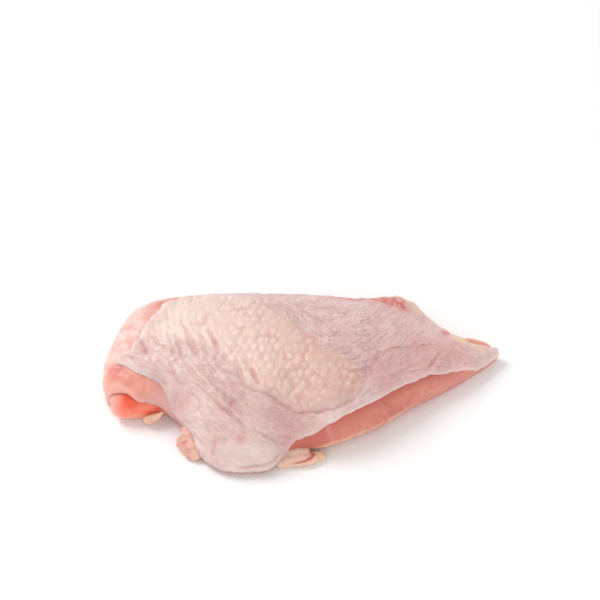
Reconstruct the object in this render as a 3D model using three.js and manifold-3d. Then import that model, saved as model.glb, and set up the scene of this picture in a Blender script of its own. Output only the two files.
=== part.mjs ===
// A raw skin-on chicken breast half, lying skin side up.
// Millimetres, +Z up, +X towards the narrow tail end, +Y away from the viewer.
// The broad main muscle lies over the slim inner fillet, the skin is draped over both,
// and a few trimmings of fat hang on at the cut edges.
import * as THREE from "three";
import { mergeVertices } from "three/addons/utils/BufferGeometryUtils.js";
import Module from "manifold-3d";

// Driving sizes
const LEFT_END = -92.5; // the blunt shoulder end
const RIGHT_END = 95; // the narrow tail end
const SKIN_THICKNESS = 1.5;
const SKIN_GAP = 0.55; // clearance between the faceted skin and the faceted meat
const FILLET_GAP = 0.35;

// The outline of the main muscle, seen from above: [x, y] along its near and far sides.
const NEAR_EDGE = [
  [-92.5, -9.5], [-86, -10], [-81, -11], [-75.5, -13.8], [-66, -13.2], [-59, -16], [-52, -23], [-46, -34],
  [-40, -40.5], [-33, -43.7], [-22, -44], [-15.5, -43.2], [-8, -36.8], [0, -33.5], [8, -33], [15, -32],
  [38, -20.5], [54, -8], [70, 3.2], [88, 18], [95, 24],
];
const FAR_EDGE = [
  [-92.5, 16], [-88, 26], [-83, 37], [-77, 45], [-62, 51], [-30, 53], [0, 52], [26, 50], [38, 52],
  [46, 56.5], [51, 54], [57, 45.5], [65, 37.5], [76, 31.5], [90, 28], [95, 26],
];
// Along x: the height of the crown, and the shape of the two sides. A side's belly is the
// height at which it stands furthest out, and its squareness is 2 for an ellipse.
const CROWN = [
  [-92.5, 24], [-80, 27.5], [-60, 30], [-35, 33], [-10, 34], [15, 32.5], [36, 27.5], [55, 21],
  [74, 14.5], [88, 10], [95, 8],
];
const NEAR_BELLY = [
  [-92.5, 16], [-89, 18], [-85, 20], [-80, 20], [-75, 14], [-70, 11], [-56, 3.5], [-36, 1.8], [-12, 1.8],
  [-2, 4], [6, 5.5], [20, 8], [60, 7], [95, 4],
];
const NEAR_SQUARENESS = [
  [-92.5, 5], [-70, 4.6], [-54, 2.3], [-36, 1.75], [-14, 1.8], [6, 2.4], [24, 3.2], [60, 3.4], [95, 2.4],
];
const FAR_BELLY = [[-92.5, 12], [-60, 8], [40, 6], [95, 4]];
const FAR_SQUARENESS = [[-92.5, 3.4], [-60, 2.6], [0, 2.3], [40, 2.6], [95, 2.4]];
// The shoulder end, on the near and on the far side: how far it takes to round off, and how
// square its corner is, 2 for an ellipse
const NEAR_END = { length: 7, squareness: 4 };
const FAR_END = { length: 12, squareness: 3 };
const TAIL_LENGTH = 8;
const LUMPS = { height: 0.8, alongX: 17, alongY: 29, acrossY: 15, acrossX: 41 }; // soft lumps of the muscle
const BRINK = 0.9985; // the share across at which the upper surface is taken to end
const LEAST_REACH = 0.4; // keeps the two ends from being divided by nothing
const FLAT_SHARE = 0.62; // how far under the sides the meat lifts off the board
const FADE_LENGTH = 8; // over which the skin's bed in the meat deepens from the skin's edge
const BED_DEPTH = 1.1;

// Creases that sink the skin: a route seen from above, the depth and the half width.
const CREASES = [
  { route: [[14, -13], [24, -7], [31, -2], [37, 5], [49, 12], [56, 15], [65, 15]], depth: 1.4, half: 2.2 },
  { route: [[-23, 0], [-21, -11], [-12, -22], [0, -28], [14, -25], [25, -19]], depth: 1.4, half: 2.4 },
  { route: [[-57, 11], [-53, 0], [-49, -11], [-43, -22], [-37, -31], [-32, -36]], depth: 1.2, half: 2.2 },
  { route: [[-46, 0], [-44, -8], [-37, -17], [-30, -25], [-24, -34]], depth: 1.2, half: 2.3 },
  { route: [[-32, -20], [-25, -29], [-20, -35], [-14, -38]], depth: 1, half: 2.2 },
  { route: [[-41, 6], [-40, -1], [-41, -7]], depth: 0.9, half: 1.8 },
  { route: [[-33, 4], [-30, -6], [-26, -14]], depth: 0.9, half: 2 },
  { route: [[59, 2], [62, 9], [66, 16]], depth: 0.7, half: 1.6 },
];

// The skin's outline: how far its long edges lie inside the meat's outline along x, and
// where its left edge runs, from the near side (0) to the far side (1).
const SKIN_NEAR_INSET = [
  [-80, 4.2], [-72, 5.6], [-65, 2.5], [-59, 0.8], [-50, 0], [-36, -0.4], [-14, -0.4], [-8, 0.4], [0, 0.6],
  [9, 2.2], [20, 4.4], [40, 6.4], [60, 6.2], [74, 4.6], [88, 1.2],
];
const SKIN_FAR_INSET = [
  [-92.5, 12], [-66, 15], [-57, 13], [-47, 9], [-36, 5], [-20, 4], [20, 3], [35, 4], [41, 7], [46, 10],
  [52, 7.5], [60, 3.2], [70, 4.2], [78, 5.4], [86, 4.4], [92, 1.6],
];
const SKIN_LEFT_EDGE = [
  [0, -70], [0.1, -78], [0.24, -85.2], [0.3, -81.3], [0.35, -78.9], [0.46, -76.9], [0.6, -73.6],
  [0.7, -71], [0.78, -68], [0.86, -66.8], [0.92, -64.6], [0.96, -61], [1, -58.5],
];
const SKIN_RIGHT_EDGE = 93.5;

// The pebbled feather tract: the line down its middle and its half width.
const TRACT = { route: [[-62, 28], [-42, 25], [-18, 11], [4, -6], [22, -18]], half: 15 };
const PEBBLE_HEIGHT = 0.9;
const TRACT_FADE = [0.75, 1.1]; // shares of its half width between which its pebbles die out

// The inner fillet under the near side: its two ends, how far it bows towards the far side,
// its half width and height at the shoulder end, and the shares of them left at the tail end.
const FILLET = {
  from: [-88.8, -3.5], to: [38, 2], bow: 9, halfWidth: 16.5, height: 20.5, tailWidth: 0.6, tailHeight: 0.6,
};
const FILLET_BLUNTNESS = 5; // 2 would round its ends like an ellipse
const FILLET_SQUARENESS = 3; // and its cross-section
const FILLET_MOUTH = 1.4; // how much wider and higher its bed is at the shoulder end
const PRESSED = 1; // how far it is flattened against the board
const BED_BELOW = 5; // how far the cutter of its bed reaches under the board

// Trimmings of fat at the cut edges, each a row of round lobes: [x, y, z, radius].
const TRIMMINGS = {
  fat_knob: [
    [-56, -19, 4.6, 3.2], [-54.5, -22, 4.4, 4.4], [-52, -25.5, 3.8, 5.2], [-49.5, -29.5, 3.2, 5],
    [-47, -33.5, 2.6, 4],
  ],
  fat_fold: [
    [-7.6, -38.5, 2, 3.8], [-5.6, -37.5, 2.6, 5.2], [-2.2, -36.5, 3, 5.8], [1.5, -36, 3, 5.8],
    [5.5, -35, 2.4, 4.8],
  ],
  fat_shred: [
    [-71, -14, 5.5, 2], [-68.6, -14.6, 6.8, 2.7], [-65.6, -14.6, 8.4, 2.8], [-63, -14.8, 9.8, 2.2],
  ],
};
const TRIMMING_FLATNESS = 0.72;
const TRIM_CLEARANCE = 0.6; // how far the meat and the skin are shifted to cut a trimming clear

// Grid counts of the faceted surfaces
const MUSCLE_STATIONS = 44;
const MUSCLE_RING = 40;
const FILLET_CELLS = 22;
const LOBE_CELLS = [9, 6];
const SKIN_COLUMNS = 60;
const SKIN_ROWS = 28;
const EDGE_CROWDING = 0.45; // how much the skin's rows crowd towards its two long edges
const ROUTE_STEPS = 8; // between two points of a route
const NORMAL_STEP = 0.004; // a share of the skin, over which its slope is measured
const POLE_RADIUS = 1e-3; // keeps the two poles of a ball from being divided by nothing
const WELD = 1e-3;

const lerp = THREE.MathUtils.lerp;
const clamp = THREE.MathUtils.clamp;
const smoothstep = THREE.MathUtils.smoothstep;

// A smooth curve through [x, value] pairs, as a function of x.
function through(pairs) {
  const last = pairs.length - 1;
  const slopes = pairs.map((_, i) => {
    const [x0, v0] = pairs[Math.max(i - 1, 0)];
    const [x1, v1] = pairs[Math.min(i + 1, last)];
    return (v1 - v0) / (x1 - x0);
  });
  return (x) => {
    const at = clamp(x, pairs[0][0], pairs[last][0]);
    let i = 0;
    while (i < last - 1 && pairs[i + 1][0] < at) i++;
    const [x0, v0] = pairs[i];
    const [x1, v1] = pairs[i + 1];
    const h = x1 - x0;
    const t = (at - x0) / h;
    const s = 1 - t;
    const values = v0 * s * s * (1 + 2 * t) + v1 * t * t * (3 - 2 * t);
    return values + h * t * s * (slopes[i] * s - slopes[i + 1] * t);
  };
}

const nearEdge = through(NEAR_EDGE);
const farEdge = through(FAR_EDGE);
const crown = through(CROWN);
const nearBelly = through(NEAR_BELLY);
const nearSquareness = through(NEAR_SQUARENESS);
const farBelly = through(FAR_BELLY);
const farSquareness = through(FAR_SQUARENESS);
const skinNearInset = through(SKIN_NEAR_INSET);
const skinFarInset = through(SKIN_FAR_INSET);
const skinLeftEdge = through(SKIN_LEFT_EDGE);

// How far round the meat is closed towards its two ends: 1 along the body, 0 at the ends.
function endRound(x, { length, squareness }) {
  const left = clamp((LEFT_END + length - x) / length, 0, 1);
  const right = clamp((x - RIGHT_END + TAIL_LENGTH) / TAIL_LENGTH, 0, 1);
  return (1 - left ** squareness) ** (1 / squareness) * Math.sqrt(1 - right ** 2);
}

const middleLine = (x) => (nearEdge(x) + farEdge(x)) / 2;

// How far out from its middle line the meat reaches at x, to the near or to the far side.
function reach(x, isNear) {
  return ((farEdge(x) - nearEdge(x)) / 2) * endRound(x, isNear ? NEAR_END : FAR_END);
}

// A route as points on a smooth curve, for measuring distances to it.
function traced(route) {
  const curve = new THREE.SplineCurve(route.map(([x, y]) => new THREE.Vector2(x, y)));
  return curve.getPoints(ROUTE_STEPS * (route.length - 1));
}

function distanceTo(points, x, y) {
  let nearest = Infinity;
  for (let i = 1; i < points.length; i++) {
    const a = points[i - 1];
    const dx = points[i].x - a.x;
    const dy = points[i].y - a.y;
    const t = clamp(((x - a.x) * dx + (y - a.y) * dy) / (dx * dx + dy * dy), 0, 1);
    nearest = Math.min(nearest, Math.hypot(x - a.x - t * dx, y - a.y - t * dy));
  }
  return nearest;
}

const creases = CREASES.map((crease) => ({ ...crease, points: traced(crease.route) }));
const tractPoints = traced(TRACT.route);

// How far a point of the skin is sunk by the creases near it.
function creaseDepth(x, y) {
  return creases.reduce(
    (sum, { points, depth, half }) => sum + depth * Math.exp(-((distanceTo(points, x, y) / half) ** 2)),
    0,
  );
}

function lumps(x, y) {
  const { height, alongX, alongY, acrossY, acrossX } = LUMPS;
  return height * Math.sin(x / alongX + y / alongY) * Math.cos(y / acrossY - x / acrossX);
}

// One cross-section of the meat, at x: where it lies, and the height of its belly and of its
// upper surface at a share across it, from -1 at the near side to 1 at the far side.
function section(x, across) {
  const outermost = across < 0 ? nearBelly(x) : farBelly(x);
  const belly = lerp((nearBelly(x) + farBelly(x)) / 2, outermost, smoothstep(Math.abs(across), 0, 1));
  const squareness = across < 0 ? nearSquareness(x) : farSquareness(x);
  const rise = Math.sqrt(Math.max(1 - Math.abs(across) ** squareness, 0)) * endRound(x, FAR_END);
  const y = middleLine(x) + reach(x, across < 0) * across;
  return { belly, y, top: belly + (crown(x) + lumps(x, y) - belly) * rise };
}

// The height of the meat's upper surface above a point seen from above.
function meatTop(x, y) {
  const offMiddle = y - middleLine(x);
  const share = offMiddle / Math.max(reach(x, offMiddle < 0), LEAST_REACH);
  return section(x, clamp(share, -BRINK, BRINK)).top;
}

// Nothing at the skin's edges and 1 further in.
function insideSkin(x, y) {
  const near = nearEdge(x) + skinNearInset(x);
  const far = farEdge(x) - skinFarInset(x);
  const left = skinLeftEdge(clamp((y - near) / (far - near), 0, 1));
  return smoothstep(Math.min(y - near, far - y, x - left), 0, FADE_LENGTH);
}

// How deep the meat is sunk under the skin.
const bedDepth = (x, y) => BED_DEPTH * insideSkin(x, y);

// The main muscle: a ball with its poles at the two ends, drawn out into the meat.
function musclePoint(ball) {
  const evenly = 1 - Math.acos(clamp(ball.x, -1, 1)) / Math.PI;
  const x = lerp(LEFT_END, RIGHT_END, lerp((ball.x + 1) / 2, evenly, 0.5));
  const ring = Math.max(Math.hypot(ball.y, ball.z), POLE_RADIUS);
  const { y, belly, top } = section(x, ball.y / ring);
  const under = belly * (1 - smoothstep((Math.max(-ball.z, 0) / ring / FLAT_SHARE) * endRound(x, FAR_END), 0, 1));
  const over = top - bedDepth(x, y) * Math.max(ball.z / ring, 0);
  return new THREE.Vector3(x, y, ball.z > -POLE_RADIUS ? over : under);
}

// A three.js geometry with every vertex carried to a new place.
function sculpt(geometry, place) {
  const at = geometry.getAttribute("position");
  const point = new THREE.Vector3();
  for (let i = 0; i < at.count; i++) {
    const moved = place(point.fromBufferAttribute(at, i));
    at.setXYZ(i, moved.x, moved.y, moved.z);
  }
  geometry.deleteAttribute("normal");
  geometry.deleteAttribute("uv");
  return mergeVertices(geometry, WELD);
}

const ballAlongX = (around, along) => new THREE.SphereGeometry(1, around, along).rotateZ(Math.PI / 2);

function muscleGeometry() {
  return sculpt(ballAlongX(MUSCLE_RING, MUSCLE_STATIONS), musclePoint);
}

// Bulges a circle out towards its square.
const squared = (share) => Math.sign(share) * Math.abs(share) ** (2 / FILLET_SQUARENESS);

// The inner fillet: a slim muscle with a blunt shoulder end. Grown by a margin, and wider and
// higher at its mouth, it cuts its own bed in the main muscle.
function filletGeometry(margin, mouth) {
  const { from, to, bow, halfWidth, height, tailWidth, tailHeight } = FILLET;
  return sculpt(ballAlongX(FILLET_CELLS, FILLET_CELLS), (ball) => {
    const along = (ball.x + 1) / 2;
    const ring = Math.max(Math.hypot(ball.y, ball.z), POLE_RADIUS);
    const girth = (1 - Math.abs(ball.x) ** FILLET_BLUNTNESS) ** (1 / FILLET_BLUNTNESS);
    const grown = margin + mouth * (1 - along) ** 8;
    const x = lerp(from[0] - margin, to[0] + margin, along);
    const middle = lerp(from[1], to[1], along) + bow * Math.sin(Math.PI * along);
    const y = middle + squared(ball.y / ring) * (halfWidth * lerp(1, tailWidth, along) * girth + grown);
    const half = (height / 2) * lerp(1, tailHeight, along);
    const z = half - PRESSED + squared(ball.z / ring) * (half * girth + grown);
    return new THREE.Vector3(x, y, margin > 0 && ball.z < -POLE_RADIUS ? -BED_BELOW : Math.max(z, 0));
  });
}

// The skin's surface seen from above, by shares along (0 to 1) and across (0 to 1) the sheet,
// and its height there. The rows crowd a little towards the two long edges.
function skinPlan(along, across) {
  const share = lerp(across, (1 - Math.cos(Math.PI * across)) / 2, EDGE_CROWDING);
  const x = lerp(skinLeftEdge(share), SKIN_RIGHT_EDGE, along);
  const y = lerp(nearEdge(x) + skinNearInset(x), farEdge(x) - skinFarInset(x), share);
  return new THREE.Vector3(x, y, meatTop(x, y));
}

function skinNormal(along, across) {
  const alongX = skinPlan(along + NORMAL_STEP, across).sub(skinPlan(along - NORMAL_STEP, across));
  const alongY = skinPlan(along, across + NORMAL_STEP).sub(skinPlan(along, across - NORMAL_STEP));
  return alongX.cross(alongY).normalize();
}

function tractShare(x, y) {
  return 1 - smoothstep(distanceTo(tractPoints, x, y) / TRACT.half, ...TRACT_FADE);
}

// The pebbles stand on every second vertex of every second row, in staggered rows.
function isPebble(along, across) {
  const column = Math.round(SKIN_COLUMNS * along);
  const row = Math.round(SKIN_ROWS * across);
  return row % 2 === 0 && (column + row / 2) % 2 === 0;
}

// The skin: a flat box of many cells laid over the meat, pebbled where the feathers grew.
// Its inner face lies at a height over the meat's upper surface.
function skinGeometry(inner) {
  const box = new THREE.BoxGeometry(1, 1, 1, SKIN_COLUMNS, SKIN_ROWS, 1);
  return sculpt(box, (cell) => {
    const along = cell.x + 0.5;
    const across = cell.y + 0.5;
    const surface = skinPlan(along, across);
    const sunk = creaseDepth(surface.x, surface.y) * insideSkin(surface.x, surface.y);
    const pebble = isPebble(along, across) ? PEBBLE_HEIGHT * tractShare(surface.x, surface.y) : 0;
    const height = cell.z > 0 ? SKIN_GAP + SKIN_THICKNESS + pebble - sunk : inner - sunk / 2;
    return surface.addScaledVector(skinNormal(along, across), height);
  });
}

// A closed geometry as a solid that can be cut, and back.
const wasm = await Module();
wasm.setup();

function toSolid(geometry) {
  const mesh = { numProp: 3, vertProperties: geometry.getAttribute("position").array };
  return new wasm.Manifold(new wasm.Mesh({ ...mesh, triVerts: new Uint32Array(geometry.index.array) }));
}

function toGeometry(solid) {
  const mesh = solid.getMesh();
  const geometry = new THREE.BufferGeometry();
  geometry.setAttribute("position", new THREE.BufferAttribute(mesh.vertProperties, 3));
  geometry.setIndex(new THREE.BufferAttribute(mesh.triVerts, 1));
  return geometry;
}

function largestPiece(solid) {
  return solid.decompose().sort((a, b) => b.volume() - a.volume())[0];
}

// A solid fused with copies of itself that are shifted a little outwards, to cut what hangs
// on its near side clear of it.
function widened(solid, step) {
  const shifts = [[step, 0, 0], [-step, 0, 0], [0, -step, 0], [0, 0, -step]];
  return wasm.Manifold.union(shifts.map((shift) => solid.translate(shift)));
}

// A trimming: round lobes in a row, fused into one lump, cut off flat at the board and clear of the meat.
function trimmingGeometry(lobes, clearing) {
  const balls = lobes.map(([x, y, z, radius]) => {
    const ball = new THREE.SphereGeometry(radius, ...LOBE_CELLS);
    ball.scale(1, 1, TRIMMING_FLATNESS).translate(x, y, z);
    return toSolid(sculpt(ball, (point) => point.clone().setZ(Math.max(point.z, 0))));
  });
  return toGeometry(largestPiece(wasm.Manifold.union(balls).subtract(clearing)));
}

function material(color, roughness) {
  return new THREE.MeshStandardMaterial({ color, roughness, metalness: 0 });
}

function named(name, geometry, finish) {
  const mesh = new THREE.Mesh(geometry, finish);
  mesh.name = name;
  return mesh;
}

const flesh = material(0xe79a8c, 0.4);
const fillet = material(0xee9078, 0.4);
const skin = material(0xe6c6bd, 0.45);
const fat = material(0xe9bb9c, 0.5);

const bed = toSolid(filletGeometry(FILLET_GAP, FILLET_MOUTH));
const wholeMeat = toSolid(muscleGeometry());
const underSkin = toSolid(skinGeometry(-SKIN_THICKNESS));
const clearing = widened(wholeMeat.add(underSkin), TRIM_CLEARANCE).add(bed);
const chickenBreast = new THREE.Group();
chickenBreast.name = "chicken_breast";
chickenBreast.add(
  named("main_muscle", toGeometry(largestPiece(wholeMeat.subtract(bed))), flesh),
  named("inner_fillet", filletGeometry(0, 0), fillet),
  named("skin", skinGeometry(SKIN_GAP), skin),
);
for (const [name, lobes] of Object.entries(TRIMMINGS)) {
  chickenBreast.add(named(name, trimmingGeometry(lobes, clearing), fat));
}

// The origin is under the middle of the whole, on the board
const extent = new THREE.Box3().setFromObject(chickenBreast);
const centre = extent.getCenter(new THREE.Vector3());
chickenBreast.position.set(-centre.x, -centre.y, -extent.min.z);

export default chickenBreast;
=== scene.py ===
# A raw skin-on chicken breast half, lying skin side up on a plain pale floor.
# Shapes are worked out in millimetres, +X towards the narrow tail end, +Y away from the
# viewer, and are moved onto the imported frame, in metres, when a piece is finished.
import math

import bmesh
import bpy
import numpy as np
from mathutils import Matrix, Vector


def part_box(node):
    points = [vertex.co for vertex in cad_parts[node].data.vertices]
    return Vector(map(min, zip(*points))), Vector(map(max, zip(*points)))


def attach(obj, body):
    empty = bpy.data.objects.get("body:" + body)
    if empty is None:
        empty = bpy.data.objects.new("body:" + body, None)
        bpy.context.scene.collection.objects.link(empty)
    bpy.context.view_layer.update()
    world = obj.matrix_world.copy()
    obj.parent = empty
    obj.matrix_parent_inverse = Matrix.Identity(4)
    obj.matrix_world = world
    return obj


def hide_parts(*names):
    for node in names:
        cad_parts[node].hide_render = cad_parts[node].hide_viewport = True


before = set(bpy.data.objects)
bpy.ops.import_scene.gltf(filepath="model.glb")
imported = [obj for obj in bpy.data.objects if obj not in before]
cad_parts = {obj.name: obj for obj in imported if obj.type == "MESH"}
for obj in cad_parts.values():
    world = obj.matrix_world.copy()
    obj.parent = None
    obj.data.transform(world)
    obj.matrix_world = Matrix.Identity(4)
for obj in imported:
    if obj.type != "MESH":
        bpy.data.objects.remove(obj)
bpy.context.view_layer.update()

MM = 0.001

# The main muscle's outline from above, [x, y], and its cross-sections along x
LEFT_END = -92.5
RIGHT_END = 95.0
NEAR_EDGE = [
    (-92.5, -9.5), (-86, -10), (-81, -11), (-75.5, -13.8), (-66, -13.2), (-59, -16), (-52, -23), (-46, -34),
    (-40, -40.5), (-33, -43.7), (-22, -44), (-15.5, -43.2), (-8, -36.8), (0, -33.5), (8, -33),
    (15, -32), (38, -20.5), (54, -8), (70, 3.2), (88, 18), (95, 24),
]
FAR_EDGE = [
    (-92.5, 16), (-88, 26), (-83, 37), (-77, 45), (-62, 51), (-30, 53), (0, 52), (26, 50), (38, 52),
    (46, 56.5), (51, 54), (57, 45.5), (65, 37.5), (76, 31.5), (90, 28), (95, 26),
]
CROWN = [
    (-92.5, 24), (-80, 27.5), (-60, 30), (-35, 33), (-10, 34), (15, 32.5), (36, 27.5), (55, 21),
    (74, 14.5), (88, 10), (95, 8),
]
NEAR_BELLY = [
    (-92.5, 16), (-89, 18), (-85, 20), (-80, 20), (-75, 16.6), (-70, 14.2), (-65, 11), (-56, 3.5), (-36, 1.8),
    (-12, 1.8), (-2, 4), (6, 5.5), (20, 8), (60, 7), (95, 4),
]
NEAR_SQUARENESS = [
    (-92.5, 5), (-70, 4.6), (-54, 2.3), (-36, 1.75), (-14, 1.8), (6, 2.4), (24, 3.2), (60, 3.4),
    (95, 2.4),
]
FAR_BELLY = [(-92.5, 12), (-60, 8), (40, 6), (95, 4)]
FAR_SQUARENESS = [(-92.5, 3.4), (-60, 2.6), (0, 2.3), (40, 2.6), (95, 2.4)]
BLUNT_LENGTH = 12  # how far the blunt end takes to round off, and how square its corner is
NEAR_BLUNT_LENGTH = 7
BLUNT_SQUARENESS = 3
NEAR_BLUNT_SQUARENESS = 4
TAIL_LENGTH = 8
LUMP_HEIGHT = 0.8
FLAT_SHARE = 0.62  # how far down its round the underside meets the floor
BRINK = 0.9985  # the outermost place where the meat's height is looked up
LEAST_REACH = 0.4  # these three keep the rounded ends from being divided by nothing
NARROWEST_TAIL = 0.1
POLE_RADIUS = 1e-3
SEAMS = ((-71.6, 0.7, 0.6), (13.5, 0.9, 0.5))  # across its near side: x, half width, depth
TAIL_SWELL = (84, 8, 4.2)  # behind the skin: x, half length, height

# The inner fillet
FILLET_FROM = (-88.8, -3.5)
FILLET_TO = (38.0, 2.0)
FILLET_BOW = 9
FILLET_HALF_WIDTH = 16.5
FILLET_HEIGHT = 20.5
FILLET_TAIL_WIDTH = 0.6
FILLET_TAIL_HEIGHT = 0.6
FILLET_BLUNTNESS = 5
FILLET_SQUARENESS = 3
FILLET_PRESSED = 1

# The skin
SKIN_NEAR_INSET = [
    (-80, 4.2), (-72, 5.6), (-65.5, 4.2), (-63, 2.6), (-61, 0.8), (-57, -0.3), (-50, -0.4), (-36, -0.8),
    (-22, -1.2), (-15, -1.2), (-11.5, -1.6),
    (-8, -0.6), (-4, 0.6), (9, 2.2), (20, 4.4), (40, 6.4), (56, 6), (60, 5.5), (65, 4.4), (70, 2.8),
    (76, 1.2), (82, 0.1), (88, -0.3), (95, -0.3),
]
SKIN_FAR_INSET = [
    (-92.5, 12), (-66, 15), (-57, 13), (-47, 9), (-36, 5), (-20, 4), (20, 3), (35, 4), (40, 6.5), (44, 10),
    (48, 10.5), (52, 7.5), (56, 4.5), (61, 3), (70, 4.2), (78, 5.4), (86, 4.6), (90, 3.4), (93, 1), (95, 0.5),
]
SKIN_LEFT_EDGE = [
    (0, -70), (0.1, -78), (0.24, -85.2), (0.3, -81.3), (0.35, -78.9), (0.46, -76.9), (0.52, -74.6),
    (0.6, -73.6), (0.7, -71), (0.78, -68), (0.86, -66.8), (0.92, -64.6), (0.96, -61), (1, -58.5),
]
SKIN_RIGHT_EDGE = 94
SKIN_THICKNESS = 1.7
SKIN_COLUMNS = 400
SKIN_ROWS = 228
BED_DEPTH = 1.3  # how deep the skin lies in the meat, from FADE_LENGTH inside its edges on
FADE_LENGTH = 8

# Random bumps and wrinkles
TABLE_CELLS = 64  # the random values repeat after so many
WANDER = 0.35  # how far a wrinkle strays, as a share of the space between wrinkles
DEEP_VALLEY = 0.22  # how wide the deep wrinkles are, and the shallow ones between them
SHALLOW_VALLEY = 0.2
SHALLOW_SHARE = 0.7


def through(pairs):
    """A smooth curve through (x, value) pairs, as a function of an array."""
    xs, values = np.array(pairs, float).T
    before = np.maximum(np.arange(len(xs)) - 1, 0)
    after = np.minimum(np.arange(len(xs)) + 1, len(xs) - 1)
    slopes = (values[after] - values[before]) / (xs[after] - xs[before])

    def curve(x):
        at = np.clip(x, xs[0], xs[-1])
        i = np.clip(np.searchsorted(xs, at, side="right") - 1, 0, len(xs) - 2)
        h = xs[i + 1] - xs[i]
        t = (at - xs[i]) / h
        s = 1 - t
        line = values[i] * s * s * (1 + 2 * t) + values[i + 1] * t * t * (3 - 2 * t)
        return line + h * t * s * (slopes[i] * s - slopes[i + 1] * t)

    return curve


near_edge = through(NEAR_EDGE)
far_edge = through(FAR_EDGE)
crown = through(CROWN)
near_belly = through(NEAR_BELLY)
near_squareness = through(NEAR_SQUARENESS)
far_belly = through(FAR_BELLY)
far_squareness = through(FAR_SQUARENESS)
skin_near_inset = through(SKIN_NEAR_INSET)
skin_far_inset = through(SKIN_FAR_INSET)
skin_left_edge = through(SKIN_LEFT_EDGE)


def mix(a, b, share):
    """a where share is 0, b where it is 1."""
    return a + (b - a) * share


def smooth(x, low, high):
    """0 below low, 1 above high and an S-curve between them."""
    t = np.clip((x - low) / (high - low), 0, 1)
    return t * t * (3 - 2 * t)


def speckle(x, y, size, seed):
    """Soft random bumps about one size across, from -1 to 1."""
    table = np.random.default_rng(seed).uniform(-1, 1, (TABLE_CELLS, TABLE_CELLS))
    u, v = x / size, y / size
    i, j = np.floor(u).astype(int), np.floor(v).astype(int)
    s, t = smooth(u - i, 0, 1), smooth(v - j, 0, 1)
    i, j, next_i, next_j = [cell % TABLE_CELLS for cell in (i, j, i + 1, j + 1)]
    low = mix(table[i, j], table[next_i, j], s)
    high = mix(table[i, next_j], table[next_i, next_j], s)
    return mix(low, high, t)


def uneven(values, x, y, bumps):
    """Values with soft random bumps added: the height, size and seed of each."""
    for height, size, seed in bumps:
        values = values + height * speckle(x, y, size, seed)
    return values


def wrinkles(along, across, length, width, seed):
    """Thin wandering valleys, 1 at their bottom, about one width apart and one length long."""
    wander = WANDER * width * speckle(along, across, length * 0.6, seed + 1)
    first = speckle(along / length, (across + wander) / width, 1, seed)
    second = speckle(along / length + 7.3, (across - wander) / width * 0.8, 1, seed + 2)
    deep = np.exp(-((first / DEEP_VALLEY) ** 2))
    return np.maximum(deep, SHALLOW_SHARE * np.exp(-((second / SHALLOW_VALLEY) ** 2)))


def rounded_route(route, steps=5):
    """The route drawn as one smooth curve through its points."""
    shares = np.arange(len(route))
    fine = np.linspace(0, len(route) - 1, steps * (len(route) - 1) + 1)
    return np.stack([through([(s, p[i]) for s, p in zip(shares, route)])(fine) for i in (0, 1)], -1)


def beside_route(route, x, y):
    """Where each point lies beside a route: how far along it, and how far from it."""
    route = rounded_route(route)
    along = np.zeros(np.shape(x))
    nearest = np.full(np.shape(x), np.inf)
    walked = 0.0
    for (ax, ay), (bx, by) in zip(route, route[1:]):
        dx, dy = bx - ax, by - ay
        length = math.hypot(dx, dy)
        t = np.clip(((x - ax) * dx + (y - ay) * dy) / length**2, 0, 1)
        away = np.hypot(x - ax - t * dx, y - ay - t * dy)
        along = np.where(away < nearest, walked + t * length, along)
        nearest = np.minimum(nearest, away)
        walked += length
    return along, nearest, walked


def middle_line(x):
    """The meat's middle, halfway between its near and far edge."""
    return (near_edge(x) + far_edge(x)) / 2


def end_round(x, blunt_length=BLUNT_LENGTH, squareness=BLUNT_SQUARENESS):
    """1 along the meat, falling to 0 at its two ends."""
    left = np.clip((LEFT_END + blunt_length - x) / blunt_length, 0, 1)
    right = np.clip((x - RIGHT_END + TAIL_LENGTH) / TAIL_LENGTH, 0, 1)
    return (1 - left**squareness) ** (1 / squareness) * np.sqrt(1 - right**2)


def reach(x, near):
    """How far the meat goes out from its middle line at x, on its near or its far side."""
    half = (far_edge(x) - near_edge(x)) / 2
    near_end = end_round(x, NEAR_BLUNT_LENGTH, NEAR_BLUNT_SQUARENESS)
    return half * np.where(near, near_end, end_round(x))


def lumps(x, y):
    """Low uneven swells all over the meat."""
    return LUMP_HEIGHT * np.sin(x / 17 + y / 29) * np.cos(y / 15 - x / 41)


def section(x, across):
    """y, belly height and upper height of the meat at x, from -1 (near) to 1 (far) across it."""
    near = across < 0
    outermost = np.where(near, near_belly(x), far_belly(x))
    belly = mix((near_belly(x) + far_belly(x)) / 2, outermost, smooth(np.abs(across), 0, 1))
    squareness = np.where(near, near_squareness(x), far_squareness(x))
    rise = np.sqrt(np.maximum(1 - np.abs(across) ** squareness, 0)) * end_round(x)
    y = middle_line(x) + reach(x, near) * across
    return y, belly, belly + (crown(x) + lumps(x, y) - belly) * rise


def meat_top(x, y):
    """The height of the meat's upper side above a point of the floor."""
    off_middle = y - middle_line(x)
    share = off_middle / np.maximum(reach(x, off_middle < 0), LEAST_REACH)
    return section(x, np.clip(share, -BRINK, BRINK))[2]


def skin_edges(x):
    """The skin's near and far edge at x; they close in on each other at the rounded tail."""
    middle, tail = middle_line(x), np.maximum(end_round(np.maximum(x, 0)), NARROWEST_TAIL)
    near, far = near_edge(x) + skin_near_inset(x), far_edge(x) - skin_far_inset(x)
    return middle + (near - middle) * tail, middle + (far - middle) * tail


def inside_skin(x, y):
    """How far a point lies inside the skin's edges, in millimetres."""
    near, far = skin_edges(x)
    left = skin_left_edge(np.clip((y - near) / (far - near), 0, 1))
    return np.minimum(np.minimum(y - near, far - y), x - left)


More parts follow.
